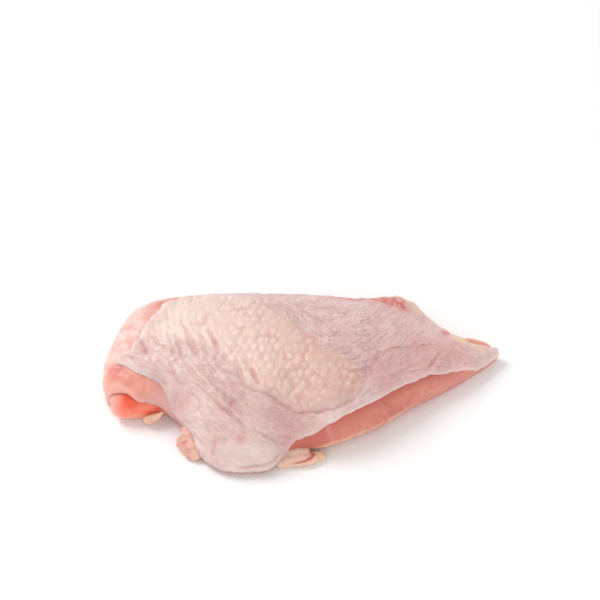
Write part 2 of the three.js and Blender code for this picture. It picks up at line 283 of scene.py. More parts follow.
# The frame's own place for the shapes: how far they are moved, from the main muscle's box
muscle_low = np.array(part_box("main_muscle")[0]) / MM
LENGTHWISE = np.linspace(LEFT_END, RIGHT_END, 2000)
SHIFT = np.array([muscle_low[0] - LEFT_END, muscle_low[1] - near_edge(LENGTHWISE).min(), 0])


def coordinates(bm):
    """Where a bmesh's points lie, as an array."""
    return np.array([v.co for v in bm.verts])


def keep_marks(mesh, marks):
    """Stores a value or a vector at every point of a mesh, under its name."""
    for name, values in marks.items():
        flat = values.ndim == 1
        layer = mesh.attributes.new(name, "FLOAT" if flat else "FLOAT_VECTOR", "POINT")
        layer.data.foreach_set("value" if flat else "vector", values.astype(np.float32).ravel())


def finished(name, bm, points, node, material, marks):
    """Moves a bmesh to points in millimetres and makes it the piece that stands for a node."""
    for vert, point in zip(bm.verts, (points + SHIFT) * MM):
        vert.co = point
    bmesh.ops.recalc_face_normals(bm, faces=bm.faces)
    mesh = bpy.data.meshes.new(name)
    bm.to_mesh(mesh)
    bm.free()
    mesh.shade_smooth()
    mesh.materials.append(material)
    keep_marks(mesh, marks)
    piece = bpy.data.objects.new(name, mesh)
    bpy.context.scene.collection.objects.link(piece)
    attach(piece, "root")
    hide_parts(node)


def ball_along_x(around, along):
    """A ball whose poles lie at its two ends along X."""
    bm = bmesh.new()
    bmesh.ops.create_uvsphere(bm, u_segments=around, v_segments=along, radius=1)
    bmesh.ops.rotate(bm, verts=bm.verts, cent=(0, 0, 0), matrix=Matrix.Rotation(math.pi / 2, 3, "Y"))
    return bm


# Colours and nodes


def colour(code):
    """An sRGB hex colour as linear light."""
    parts = [int(code[i : i + 2], 16) / 255 for i in (1, 3, 5)]
    return (*[p / 12.92 if p <= 0.04045 else ((p + 0.055) / 1.055) ** 2.4 for p in parts], 1)


def add(tree, kind, settings=None, inputs=None):
    """A new node with its settings, and its sockets' values or links."""
    new = tree.nodes.new(kind)
    for key, value in (settings or {}).items():
        setattr(new, key, value)
    for key, value in (inputs or {}).items():
        if isinstance(value, bpy.types.NodeSocket):
            tree.links.new(value, new.inputs[key])
        else:
            new.inputs[key].default_value = value
    return new


FACTOR, FIRST, SECOND = 0, 6, 7  # a Mix node's colour sockets


def blend_colours(tree, layers):
    """Lays colours over one another: each layer is (how much of it, colour)."""
    under = layers[0][1]
    for share, shade in layers[1:]:
        sockets = {FACTOR: share, FIRST: under, SECOND: shade}
        under = add(tree, "ShaderNodeMix", {"data_type": "RGBA"}, sockets).outputs[2]
    return under


def times(tree, *values):
    """The product of values and sockets."""
    total = values[0]
    for value in values[1:]:
        total = add(tree, "ShaderNodeMath", {"operation": "MULTIPLY"}, {0: total, 1: value}).outputs[0]
    return total


def in_millimetres(tree):
    """The object's own coordinates, in millimetres."""
    where = add(tree, "ShaderNodeTexCoord").outputs["Object"]
    scale = (1 / MM, 1 / MM, 1 / MM)
    return add(tree, "ShaderNodeMapping", None, {"Vector": where, "Scale": scale}).outputs[0]


def cloud(tree, vector, size, low, high, detail=2.0):
    """Patches of noise about one size across: 0 below low, 1 above high."""
    noise = add(tree, "ShaderNodeTexNoise", None, {"Vector": vector, "Scale": 1 / size, "Detail": detail})
    limits = {"Value": noise.outputs["Fac"], "From Min": low, "From Max": high}
    return add(tree, "ShaderNodeMapRange", None, limits).outputs[0]


def wet_meat_shader(tree, base, roughness, bump, soft, coat):
    """Water, protein and fat scatter light a few millimetres deep, red the furthest."""
    sockets = {
        "Base Color": base,
        "Roughness": roughness,
        "IOR": 1.38,
        "Normal": bump,
        "Subsurface Weight": soft,
        "Subsurface Radius": (1.0, 0.42, 0.28),
        "Subsurface Scale": 2.6 * MM,
        "Coat Weight": coat,
        "Coat Roughness": 0.12,
        "Coat IOR": 1.33,
    }
    shader = add(tree, "ShaderNodeBsdfPrincipled", {"subsurface_method": "RANDOM_WALK"}, sockets)
    add(tree, "ShaderNodeOutputMaterial", None, {"Surface": shader.outputs[0]})


def new_tree(name):
    """A new material and its empty node tree."""
    material = bpy.data.materials.new(name)
    material.use_nodes = True
    material.node_tree.nodes.clear()
    return material, material.node_tree


def fine_lines(tree, flow, length, width):
    """Hair-thin lines that wander along a flow: 1 on a line, 0 between them."""
    scale = (1 / length, 1 / width, 1)
    stretched = add(tree, "ShaderNodeMapping", None, {"Vector": flow, "Scale": scale}).outputs[0]
    sockets = {"Vector": stretched, "Scale": 1.0, "Detail": 2.0, "Roughness": 0.6, "Distortion": 0.25}
    noise = add(tree, "ShaderNodeTexNoise", None, sockets).outputs["Fac"]
    away = add(tree, "ShaderNodeMath", {"operation": "SUBTRACT"}, {0: noise, 1: 0.5}).outputs[0]
    away = add(tree, "ShaderNodeMath", {"operation": "ABSOLUTE"}, {0: away}).outputs[0]
    limits = {"Value": away, "From Min": 0.035, "From Max": 0.0}
    return add(tree, "ShaderNodeMapRange", {"interpolation_type": "SMOOTHSTEP"}, limits).outputs[0]


def poultry_skin():
    """Raw chicken skin, plucked and chilled: thin wet hide over fat. It is cream where the
    feathers grew, pink and finely wrinkled elsewhere, and glints on its pebbles."""
    material, tree = new_tree("raw_poultry_skin")
    place = in_millimetres(tree)
    (tract, pebble, valley, blush, hollow, rim, spot, fatty, raw, far_lines, near_lines,
     slant_lines, paler) = [
        add(tree, "ShaderNodeAttribute", {"attribute_name": name}).outputs["Fac"] for name in SKIN_MARKS]
    # The colours change along the breast: towards the blunt end, the tract's end and the tail
    # Painted light and shade: the skin and tract are painted paler towards the blunt end, where the lamp
    # on the left falls, and the tract darker towards its end, where that light falls off
    sideways = add(tree, "ShaderNodeSeparateXYZ", None, {0: place}).outputs["X"]
    painted_light_leftward, painted_shade_to_tract_end, rightward = [
        add(tree, "ShaderNodeMapRange", None,
            {"Value": sideways, "From Min": start, "From Max": stop}).outputs[0]
        for start, stop in ((5.0, -50.0), (-25.0, 20.0), (20.0, 55.0))]
    far_flow, near_flow, slant_flow = [
        add(tree, "ShaderNodeAttribute", {"attribute_name": name}).outputs["Vector"]
        for name in ("far_flow", "near_flow", "slant_flow")]
    patches = add(tree, "ShaderNodeMapRange", None,
                  {"Value": cloud(tree, place, 16, 0.35, 0.65), "To Min": 0.45}).outputs[0]
    # Real fine wrinkles are under a millimetre apart: these are drawn about twice as coarse, to show
    far_ones = times(tree, fine_lines(tree, far_flow, 7, 1.7), far_lines, patches)
    near_ones = times(tree, fine_lines(tree, near_flow, 7, 1.7), near_lines, 0.6)
    slant_ones = times(tree, fine_lines(tree, slant_flow, 8, 1.6), slant_lines, 0.6)
    adding = {"operation": "ADD"}
    near_ones = add(tree, "ShaderNodeMath", adding, {0: near_ones, 1: slant_ones}).outputs[0]
    lines = add(tree, "ShaderNodeMath", adding, {0: far_ones, 1: near_ones}).outputs[0]
    base = blend_colours(tree, [
        (1, colour("#e4c1bb")),
        (cloud(tree, place, 9, 0.35, 0.7), colour("#dbb9b6")),
        (times(tree, painted_light_leftward, 0.5), colour("#e2cac5")),
        (times(tree, rightward, 0.8), colour("#f3d0c9")),
        (times(tree, cloud(tree, place, 4, 0.48, 0.7), 0.4), colour("#efdcd6")),
        (times(tree, cloud(tree, place, 6, 0.52, 0.7), 0.3), colour("#d9abaa")),
        (times(tree, blush, 0.7), colour("#d4a1a2")),
        (times(tree, paler, 0.8), colour("#f2dfd8")),
        (tract, colour("#d2ada1")),
        (times(tree, tract, painted_light_leftward), colour("#ead0c6")),
        (times(tree, tract, painted_shade_to_tract_end, 0.65), colour("#cd9c90")),
        # The pebbles' tops paler and their valleys darker: partly the skin's own colour, partly painted light
        # and shade
        (times(tree, tract, pebble, 0.4), colour("#ecd8cd")),
        (times(tree, tract, valley, 0.4), colour("#d59c90")),
        (times(tree, tract, cloud(tree, place, 3.2, 0.6, 0.72), 0.45), colour("#e8b79a")),
        # Small whitish flecks: partly fat showing through, partly painted glints of the wet skin
        (times(tree, cloud(tree, place, 1.6, 0.6, 0.7), 0.22), colour("#f7ece7")),
        # Painted shade: the wrinkle lines, and the hollows of the wrinkles and of the slit, are painted
        # darker; the folds' red is their own
        (times(tree, far_ones, 0.75), colour("#b38b8a")),
        (times(tree, near_ones, 0.45), colour("#c49796")),
        (times(tree, hollow, 0.75), colour("#cd8f8a")),
        (times(tree, spot, 0.8), colour("#c9605e")),
        (times(tree, rim, 0.6), colour("#f6e9e3")),
        (times(tree, raw, cloud(tree, place, 2.2, 0.3, 0.52)), colour("#d3766a")),
        (times(tree, fatty, cloud(tree, place, 3, 0.25, 0.5)), colour("#ecd2b2")),
    ])
    relief = add(tree, "ShaderNodeBump", {"invert": True}, {"Height": lines, "Distance": 0.3 * MM,
                                                            "Strength": 0.8}).outputs[0]
    grain = add(tree, "ShaderNodeTexNoise", None, {"Vector": place, "Scale": 1.1, "Detail": 3.0})
    relief = add(tree, "ShaderNodeBump", None, {"Height": grain.outputs["Fac"], "Distance": 0.4 * MM,
                                                "Strength": 0.7, "Normal": relief}).outputs[0]
    roughness = add(tree, "ShaderNodeMapRange", None,
                    {"Value": cloud(tree, place, 6, 0.3, 0.7), "To Min": 0.3, "To Max": 0.5}).outputs[0]
    wet_meat_shader(tree, base, roughness, relief, soft=0.35, coat=0.3)
    return material


def raw_muscle(name, pale, deep, streak):
    """Raw chicken muscle, cut and wet: salmon pink, with fibres that run along the breast.
    Its fibre bundles are under a millimetre across, and are drawn about 1.5 mm wide, to show."""
    material, tree = new_tree(name)
    place = in_millimetres(tree)
    fibre = add(tree, "ShaderNodeMapping", None, {"Vector": place, "Scale": (0.05, 0.8, 0.5)}).outputs[0]
    strands = add(tree, "ShaderNodeTexNoise", None, {"Vector": fibre, "Scale": 1.0, "Detail": 4.0})
    strand = add(tree, "ShaderNodeMapRange", None, {"Value": strands.outputs["Fac"], "From Min": 0.4,
                                                    "From Max": 0.7}).outputs[0]
    shadow, light, peach, beaded_with_painted_glints, red, cream, lilac = [
        add(tree, "ShaderNodeAttribute", {"attribute_name": mark}).outputs["Fac"] for mark in FLESH_MARKS]
    base = blend_colours(tree, [
        (1, colour(pale)),
        (cloud(tree, place, 14, 0.35, 0.65), colour(deep)),
        (times(tree, strand, 0.3), colour(streak)),
        (shadow, colour(deep)),
        # Paler flesh: at the blunt end's top partly painted light, where the lamp on the left falls brightest
        (light, colour("#f2cfc7")),
        (peach, colour("#f3b5a6")),
        (lilac, colour("#e4aba6")),
        (red, colour("#cf6b60")),
        (times(tree, cream, cloud(tree, place, 4, 0.3, 0.55)), colour("#edc3a3")),
        # Where the flesh is beaded: darker pink patches, and whitish spots that are painted glints
        (times(tree, beaded_with_painted_glints, cloud(tree, place, 5, 0.42, 0.65), 0.7), colour("#e9a9a0")),
        (times(tree, beaded_with_painted_glints, cloud(tree, place, 2.2, 0.55, 0.72), 0.7), colour("#f8dcd5")),
    ])
    grain = add(tree, "ShaderNodeTexNoise", None, {"Vector": place, "Scale": 0.6, "Detail": 3.0})
    relief = add(tree, "ShaderNodeBump", None, {"Height": strands.outputs["Fac"], "Distance": 0.45 * MM,
                                                "Strength": 0.5}).outputs[0]
    relief = add(tree, "ShaderNodeBump", None, {"Height": grain.outputs["Fac"], "Distance": 0.5 * MM,
                                                "Strength": 0.5, "Normal": relief}).outputs[0]
    beaded = times(tree, cloud(tree, place, 1.8, 0.4, 0.65), beaded_with_painted_glints)
    relief = add(tree, "ShaderNodeBump", None, {"Height": beaded, "Distance": 0.6 * MM,
                                                "Strength": 0.6, "Normal": relief}).outputs[0]
    wet_meat_shader(tree, base, 0.36, relief, soft=0.5, coat=0.35)
    return material


def soft_fat():
    """Raw chicken fat with scraps of pink tissue: waxy, cream to orange."""
    material, tree = new_tree("raw_poultry_fat")
    place = in_millimetres(tree)
    shadow, red, lilac, cream = [
        add(tree, "ShaderNodeAttribute", {"attribute_name": mark}).outputs["Fac"]
        for mark in ("shadow", "red", "lilac", "cream")]
    base = blend_colours(tree, [
        (1, colour("#eac4b2")),
        (cloud(tree, place, 4, 0.42, 0.62), colour("#e0ad9f")),
        (times(tree, red, 0.8), colour("#cd8880")),
        (times(tree, cloud(tree, place, 2.5, 0.55, 0.7), 0.6), colour("#ecccb0")),
        (times(tree, lilac, 0.8), colour("#dfb0ab")),
        (cream, colour("#f6d9b4")),
        (shadow, colour("#bd5f54")),
    ])
    lumpy = add(tree, "ShaderNodeTexNoise", None, {"Vector": place, "Scale": 0.7, "Detail": 3.0})
    relief = add(tree, "ShaderNodeBump", None, {"Height": lumpy.outputs["Fac"], "Distance": 0.4 * MM,
                                                "Strength": 0.6}).outputs[0]
    wet_meat_shader(tree, base, 0.38, relief, soft=0.5, coat=0.3)
    return material


# The skin's relief

# A fold: its route from above, how high it stands (less than 0 for a groove), its half width
# and how much red shows in it
FOLDS = [
    ([(20, -10), (29, -6), (34, -1), (38, 4)], -0.35, 0.6, 0.6),
    ([(36, 1), (41, 8), (49, 12), (52, 13)], -0.4, 0.7, 0.8),
    ([(50, 12), (56, 15), (60, 17), (66, 18)], -0.3, 0.6, 0.7),
    ([(57, 1), (60, 5), (63, 10), (66, 15)], -0.6, 0.8, 0.6),
    ([(-34, 5), (-30, -3), (-28, -9), (-25, -16), (-19, -19), (-13, -21), (-3, -25), (3, -25.5), (9, -25.5),
      (15, -24.5), (20, -22), (26, -17), (29, -11)], -0.6, 0.8, 0.7),
    ([(-55, 21), (-52, 12), (-48, 2), (-47, -6)], -0.9, 1.0, 0.4),
    ([(-43, 16), (-38, 3), (-39, -1)], -0.9, 1.0, 0.8),
    ([(-23, -6), (-21, -12), (-18, -17)], -0.7, 0.9, 0.9),
    ([(-47, -4), (-41, -13), (-36, -18), (-30, -24)], -0.8, 1.0, 0.6),
    ([(-41, -18), (-37, -24), (-29, -30), (-24, -34)], -0.9, 0.9, 0.7),
    ([(-21, -34), (-19, -35), (-13, -36), (-9, -35.5)], -0.6, 0.7, 0.7),
    ([(-48, -28), (-46, -32), (-41, -37)], -0.6, 0.8, 0.4),
    ([(-44, -28), (-41, -32), (-36, -38)], -0.5, 0.8, 0.35),
    ([(-53, 2), (-50, -6), (-45, -14)], -0.6, 0.9, 0.3),
    ([(-58, 14), (-55, 4), (-52, -4)], -0.8, 1.0, 0.4),
    ([(-62, 17), (-60, 7), (-56, -3)], -0.6, 0.9, 0.3),
    ([(-75, 12), (-72, 8), (-71, 3)], -0.6, 1.0, 0.9),
    ([(-71, 16), (-67, 11), (-66, 7)], -0.6, 0.9, 0.3),
    ([(-4, -29), (6, -30), (16, -28), (25, -21), (31, -15), (37, -9)], 0.7, 2.4, 0),
    ([(-50, 14), (-46, 4), (-44, -5)], 0.7, 1.6, 0),
    ([(-31, 3), (-26, -8), (-22, -15), (-14, -18)], 0.6, 1.4, 0),
    ([(-67, 5), (-64, 8), (-60, 8), (-57, 5), (-58, 1), (-62, -1)], 0.7, 1.0, 0),
    ([(-64, 4), (-61, 5), (-60, 3)], 0.6, 0.8, 0),
    ([(-68, 1), (-66, -2), (-62, -4), (-57, -4)], 0.6, 1.0, 0),
    ([(-50, -12), (-44, -20), (-40, -27)], 0.6, 1.2, 0),
    ([(-36, -10), (-31, -17), (-24, -24)], 0.6, 1.2, 0),
]

# The feather tract's far and near border
TRACT_FAR = [(-70, 42), (-46, 45), (-20, 38), (-7, 22), (2, 11), (11, 3), (20, -1), (31, -12)]
TRACT_NEAR = [(-80, 8), (-70, 11), (-62, 11), (-52, 8), (-45, 3), (-36, 1), (-29, -8), (-25, -16),
              (-13, -21), (-3, -25), (9, -25.5), (20, -22), (31, -12)]
# The line that parts the far wrinkles from the near ones
PARTING = [(-62, 25), (-36, 18), (-20, 10), (0, -5), (13, -14), (28, -13), (46, 0), (66, 14), (95, 30)]
# What the wrinkles follow: the far ones hang between two heights, the near ones lie round the tract
FAR_HANG = [(-60, 47), (-32, 45), (-18, 37), (-7, 21), (2, 9), (11, 1), (20, -1), (32, 8), (44, 24),
            (60, 44), (95, 80)]
NEAR_ROUTE = [(-62, 40), (-58, 18), (-50, -2), (-36, -18), (-19, -26), (-3, -28), (13, -26), (28, -13),
              (46, 0), (66, 14), (95, 30)]

# Pink blushes, red spots, beads of fat, pale places and torn ones: x, y, radius, strength
BLUSHES = [
    (-50, -14, 12, 0.35), (-32, -24, 9, 0.45), (-8, -31, 8, 1), (-36, -36, 9, 0.5), (30, -11, 8, 0.7),
    (40, -4, 12, 0.65), (52, 6, 12, 0.7), (66, 12, 10, 0.8), (20, 3, 7, 0.4), (80, 20, 8, 0.8),
    (60, 26, 12, 0.4), (-73, 7, 5, 0.9), (-66, 2, 7, 0.5), (36, 34, 10, 0.4),
]
SPOTS = [
    (-39, -38.5, 1, 0.45), (-38.4, -36.5, 1.1, 0.4), (-28, -37, 1.4, 0.45), (-26, -36.6, 1.5, 0.35),
    (-32, -24, 1.2, 0.5), (-30.4, -22.6, 1.1, 0.4), (68, 27.5, 2, 0.7), (54, 15, 4, 0.3),
    (74, 18, 7, 0.11), (-75, 3, 5, 0.1), (86, 20, 5, 0.15),
]
FAT_BEADS = [
    (73, 26, 2.2, 0.9), (75.5, 24.5, 1.8, 1), (78, 23.5, 1.8, 1), (82, 22, 2, 0.8), (86, 21, 1.8, 0.5),
    (52, 43, 3.2, 0.7), (55, 39, 3, 0.5),
]
PALE = [
    (-30, -42, 10, 0.8), (-15, -42, 9, 0.6), (-46, -28, 9, 0.6), (15, -27, 7, 0.5), (-80, 5, 7, 0.4),
    (-64, 4, 9, 0.35), (-62, 24, 14, 0.6), (91, 21, 7, 0.5), (84, 18, 5, 0.5), (22, 40, 14, 0.35),
    (30, -17, 6, 0.6), (-50, -4, 10, 0.2), (61, 26, 6, 0.4),
]
TORN = [(41, 42, 5, 1), (46, 41, 5, 0.8), (49, 37, 4, 0.5), (68.5, 28.5, 1.8, 0.6)]
SHOULDER_LINE = (41, 3, 0.85)  # the red line along the far shoulder: y, half width, strength

# The pebbles' spacing across and along, and their seed: the round ones, the ones drawn out
# towards the far edge at the left, and the ones that lie along the tract's near border
ROUND_PEBBLES = (3.9, 4.6, 11)
LONG_PEBBLES = (4.0, 9, 12)
LYING_PEBBLES = (9, 3.2, 13)
PEBBLE_HEIGHT = 0.95
PEBBLE_JITTER = 0.24  # how far a pebble strays from its lattice, as a share of the spacing
PEBBLE_SIZES = (0.85, 1.25)
PEBBLE_DOME = 0.5
PEBBLE_VALLEY = (0.4, 0.68)  # where the valley round a pebble begins and ends

# Wrinkles and soft folds: their length, spacing and seed, and how deep they are
NEAR_WRINKLES = (13, 3.2, 41)
SLANT_WRINKLES = (11, 3.8, 41)
NEAR_FOLDS = (24, 6.5, 45)
SLANT_FOLDS = (17, 6, 45)
FAR_WRINKLES = (6, 2.2, 51)
NEAR_WRINKLE_DEPTH = 0.42
NEAR_FOLD_DEPTH = 0.5
FAR_WRINKLE_DEPTH = 0.26
SLANT = 0.85  # the slanting ones: how far they go down for each step right
SLANT_STEP = 1.31  # and how long such a step is
FOLD_TAPER = 0.35  # the share of a fold's length over which an end dies out
FOLD_SHOULDER = 0.3  # the raised lips of a groove, as a share of its depth
HEM = (4.6, 0.7, 0.8)  # the slit along the flap: distance from the edge, half width, depth

# Soft random bumps: the height, size and seed of each
LEFT_SCALLOPS = ((1.3, 4.5, 21), (0.7, 2, 22))
NEAR_SCALLOPS = ((0.7, 6, 23), (0.2, 2.5, 25))
FAR_SCALLOPS = ((0.9, 7, 24),)
TRACT_BENDS_X = ((0.7, 7, 15), (0.45, 2.4, 19))
TRACT_BENDS_Y = ((0.8, 6, 16), (0.45, 2.4, 20))
DIMPLES = ((0.6, 3.6, 17), (0.4, 1.7, 18))
DIMPLE_DEPTH = 0.4
SWELLS = ((0.5, 13, 43),)

# The skin's edges
LEFT_EDGE_LENGTH = 60
EDGE_CROWDING = 0.45  # how much closer the sheet's rows stand at its near and far edge
EDGE_ROUNDING = 1.8  # how far in from an edge the skin's full thickness begins
EDGE_LIFT = 0.9  # how far the blunt end's edge curls up off the meat
ROLLED_HEIGHT = 0.9  # the roll along the upper left edge, and how uneven it is
ROLLED_LUMPS = 1.3
SKIN_GAP = 0.05
THIN_EDGE = (0.3, 0.1)  # the share of the thickness left at an edge, and at a feathered edge
LEAST_THICKNESS = (0.35, 0.15)  # at both, in millimetres
LOWEST = 0.3
CREST = 10  # the line, at this y, that distances across the skin are measured from
SLOPE_STEP = 0.004  # the share of the sheet over which its slope is measured
SKIN_MARKS = ("tract", "pebble", "valley", "blush", "hollow", "rim", "spot", "fatty", "raw", "far_lines",
              "near_lines", "slant_lines", "pale")


def blobs(places, x, y):
    """Round soft marks, 1 at the most."""
    total = np.zeros(np.shape(x))
    for at_x, at_y, radius, strength in places:
        total = total + strength * np.exp(-(((x - at_x) ** 2 + (y - at_y) ** 2) / radius**2))
    return np.clip(total, 0, 1)


def pebbles(u, v, across, along, seed):
    """Domes round the points of an uneven lattice: their height, 1 at most, and their valleys."""
    rng = np.random.default_rng(seed)
    jitter = rng.uniform(-PEBBLE_JITTER, PEBBLE_JITTER, (TABLE_CELLS, TABLE_CELLS, 2))
    sizes = rng.uniform(*PEBBLE_SIZES, (TABLE_CELLS, TABLE_CELLS))
    nearest = np.full(u.shape, np.inf)
    row = np.floor(v / along).astype(int)
    for step in (-1, 0, 1):
        r = row + step
        offset = 0.5 * (r % 2)
        column = np.floor(u / across - offset).astype(int)
        for side in (-1, 0, 1):
            c = column + side
            cell = (c % TABLE_CELLS, r % TABLE_CELLS)
            du = u / across - (c + 0.5 + offset + jitter[(*cell, 0)])
            dv = v / along - (r + 0.5 + jitter[(*cell, 1)])
            nearest = np.minimum(nearest, np.hypot(du, dv) / sizes[cell])
    return np.exp(-((nearest / PEBBLE_DOME) ** 2)), smooth(nearest, *PEBBLE_VALLEY)


def tract_share(x, y):
    """1 on the feather tract, fading to 0 beyond its uneven borders."""
    far = np.interp(x, *np.array(TRACT_FAR).T)
    near = np.interp(x, *np.array(TRACT_NEAR).T)
    inside = np.minimum(far - y + 3 * speckle(x, y, 8, 5), y - near + speckle(x, y, 5, 6))
    return smooth(inside, -2.5, 5) * smooth(x, -88, -78) * (1 - smooth(x, 22, 33))


def skin_sheet(along, across):
    """The skin's place over the meat: along it from left to right, across it from near to far."""
    share = mix(across, (1 - np.cos(np.pi * across)) / 2, EDGE_CROWDING)
    scallops = uneven(0, share * LEFT_EDGE_LENGTH, 0 * share, LEFT_SCALLOPS) * smooth(share, 0.3, 0.4)
    x = mix(skin_left_edge(share) + scallops, SKIN_RIGHT_EDGE, along)
    near, far = skin_edges(x)
    before_tail = 1 - smooth(x, 76, 88)
    near = near + uneven(0, x, 0 * x, NEAR_SCALLOPS) * smooth(x, -64, -45) * before_tail
    far = far + uneven(0, x, 0 * x, FAR_SCALLOPS) * before_tail
    y = mix(near, far, share)
    return np.stack([x, y, meat_top(x, y)], -1)


def skin_cells():
    """A closed sheet: a fine upper side, a coarse underside and a wall round their edges."""
    bm = bmesh.new()
    bmesh.ops.create_grid(bm, x_segments=SKIN_COLUMNS, y_segments=SKIN_ROWS, size=0.5,
                          matrix=Matrix.Translation((0, 0, 0.05)))
    bmesh.ops.create_grid(bm, x_segments=SKIN_COLUMNS // 4, y_segments=SKIN_ROWS // 4, size=0.5)
    bmesh.ops.bridge_loops(bm, edges=[edge for edge in bm.edges if edge.is_boundary])
    return bm


def chicken_skin():
    """The whole skin: a sheet over the meat, with its pebbles, folds, wrinkles and ragged edges."""
    bm = skin_cells()
    cells = coordinates(bm)
    column = np.rint((cells[:, 0] + 0.5) * SKIN_COLUMNS).astype(int)
    row = np.rint((cells[:, 1] + 0.5) * SKIN_ROWS).astype(int)
    outer = cells[:, 2] > 0.02

    # Where the sheet's cells lie, and which way is out of it there
    along, across = np.meshgrid(np.arange(SKIN_COLUMNS + 1) / SKIN_COLUMNS,
                                np.arange(SKIN_ROWS + 1) / SKIN_ROWS, indexing="ij")
    surface = skin_sheet(along, across)
    lengthwise = skin_sheet(along + SLOPE_STEP, across) - skin_sheet(along - SLOPE_STEP, across)
    crosswise = skin_sheet(along, across + SLOPE_STEP) - skin_sheet(along, across - SLOPE_STEP)
    normal = np.cross(lengthwise, crosswise)
    normal /= np.linalg.norm(normal, axis=-1, keepdims=True)
    x, y = surface[..., 0], surface[..., 1]
    # The distance walked across the sheet, so that the relief keeps its size on its slopes
    walked = np.concatenate([np.zeros((SKIN_COLUMNS + 1, 1)),
                             np.cumsum(np.linalg.norm(np.diff(surface, axis=1), axis=-1), axis=1)], axis=1)
    crest = np.argmin(np.abs(y - CREST), axis=1)
    v = walked - walked[np.arange(SKIN_COLUMNS + 1), crest][:, None] + CREST

    def on_sheet(route):
        """A route's places as x and distance walked."""
        nearest = [np.argmin((x - px) ** 2 + (y - py) ** 2) for px, py in route]
        return [(x.flat[i], v.flat[i]) for i in nearest]

    from_left = x - surface[0, :, 0]
    from_sides = np.minimum(walked, walked[:, -1:] - walked)
    edge = np.minimum(from_sides, np.minimum(from_left, SKIN_RIGHT_EDGE - x))
    fade = smooth(edge, 0, 5)
    tract = tract_share(x, y)
    near_u, near_d, _ = beside_route(on_sheet(NEAR_ROUTE), x, v)
    far_v = v - np.interp(x, *np.array(on_sheet(FAR_HANG)).T)

    # The pebbles of the feather tract, and small dimples everywhere
    low_border = (1 - smooth(near_d, 4, 13)) * (1 - smooth(x, -18, -4))
    bent_x = uneven(x, x, v, TRACT_BENDS_X)
    bent_v = uneven(v, x, v, TRACT_BENDS_Y)
    round_ones = pebbles(bent_x, bent_v, *ROUND_PEBBLES)
    long_ones = pebbles(bent_x, bent_v, *LONG_PEBBLES)
    lying_ones = pebbles(near_u, near_d, *LYING_PEBBLES)
    upright = 1 - smooth(x, -46, -28)
    pebble, valley = [mix(mix(a, b, upright), c, low_border)
                      for a, b, c in zip(round_ones, long_ones, lying_ones)]
    strong = smooth(speckle(x, v, 7, 14), -0.7, 0.3)
    valley = valley * mix(0.35, 1, strong)
    pebble = mix(0.7, pebble, mix(0.35, 0.9, strong))
    relief = PEBBLE_HEIGHT * tract * pebble * mix(0.6, 1, fade)
    relief = relief + DIMPLE_DEPTH * uneven(0, x, v, DIMPLES) * mix(1, 0.8, tract)

    # The folds and creases, one by one
    hollow = np.zeros(x.shape)
    for route, height, half, red in FOLDS:
        u, away, length = beside_route(on_sheet(route), x, v)
        taper = np.sqrt(np.clip(np.minimum(u, length - u) / (FOLD_TAPER * length), 0, 1))
        away = away + 0.35 * speckle(x, v, 3.5, 31)
        bed = np.exp(-((away / half) ** 2)) * taper
        shoulder = np.exp(-((away / half - 2) ** 2)) * taper
        relief = relief + height * (bed - FOLD_SHOULDER * shoulder) * fade
        hollow = np.maximum(hollow, red * bed)

    # The wrinkles: those beyond the tract hang across, the near ones lie along it or slant down
    beyond = y - np.interp(x, *np.array(PARTING).T)
    far_side = smooth(beyond, -2, 6) * (1 - tract) * mix(1, 0.6, smooth(x, 25, 60))
    near_side = (1 - smooth(beyond, -4, 4)) * (1 - tract)
    slanting = (1 - smooth(x, -32, -14)) * (1 - smooth(y, 12, 22))
    down_right = (x - SLANT * v) / SLANT_STEP + 1.5 * speckle(x, v, 9, 47)
    beside = (SLANT * x + v) / SLANT_STEP + 1.3 * speckle(x, v, 8, 48)
    near_wrinkles, near_folds = [
        mix(wrinkles(near_u, near_d, *lying), wrinkles(down_right, beside, *slanted), slanting)
        for lying, slanted in ((NEAR_WRINKLES, SLANT_WRINKLES), (NEAR_FOLDS, SLANT_FOLDS))]
    far_wrinkles = wrinkles(x, far_v, *FAR_WRINKLES)
    calm = 1 - 0.6 * smooth(x, 0, 25)
    flap = smooth(x, -50, -40) * (1 - smooth(x, -10, -4)) * (1 - smooth(walked, 12, 20))
    near_side = near_side * (1 - 0.45 * flap)
    near_depth = NEAR_WRINKLE_DEPTH * near_wrinkles + NEAR_FOLD_DEPTH * near_folds * calm
    far_depth = FAR_WRINKLE_DEPTH * far_wrinkles
    relief = relief - near_depth * near_side * mix(0.3, 1, fade)
    relief = relief - far_depth * far_side * mix(0.3, 1, fade) * mix(1, 0.6, smooth(y, 24, 44))
    # Painted shade in the wrinkles' creases
    hollow = np.maximum(hollow, (0.2 * near_wrinkles + 0.25 * near_folds * calm) * near_side)
    hollow = np.maximum(hollow, 0.2 * far_wrinkles * far_side)
    relief = relief + uneven(0, x, v, SWELLS) * fade

    # The rolled upper left edge, the beads of fat, the torn places and the slit along the flap
    above_tip = smooth(across, 0.18, 0.32)
    rolled = (1 - smooth(from_left, 1, 9)) * above_tip
    relief = relief + rolled * (ROLLED_HEIGHT + ROLLED_LUMPS * speckle(x, v, 4.5, 61))
    tract = tract * (1 - 0.6 * rolled)
    beads = blobs(FAT_BEADS, x, y)
    relief = relief + 0.8 * beads * smooth(edge, 0, 1.5)
    line_y, line_half, line_strength = SHOULDER_LINE
    shoulder_line = np.exp(-(((y - line_y - speckle(x, v, 6, 63)) / line_half) ** 2))
    raw = blobs(TORN, x, y) + line_strength * shoulder_line * smooth(x, 4, 20) * (1 - smooth(x, 42, 50))
    hem_in, hem_half, hem_depth = HEM
    hem = np.exp(-(((walked - hem_in) / hem_half) ** 2)) * smooth(x, -31, -26) * (1 - smooth(x, -12, -9))
    relief = relief - hem_depth * hem
    # Painted shade in the slit
    hollow = np.maximum(hollow, 0.9 * hem)

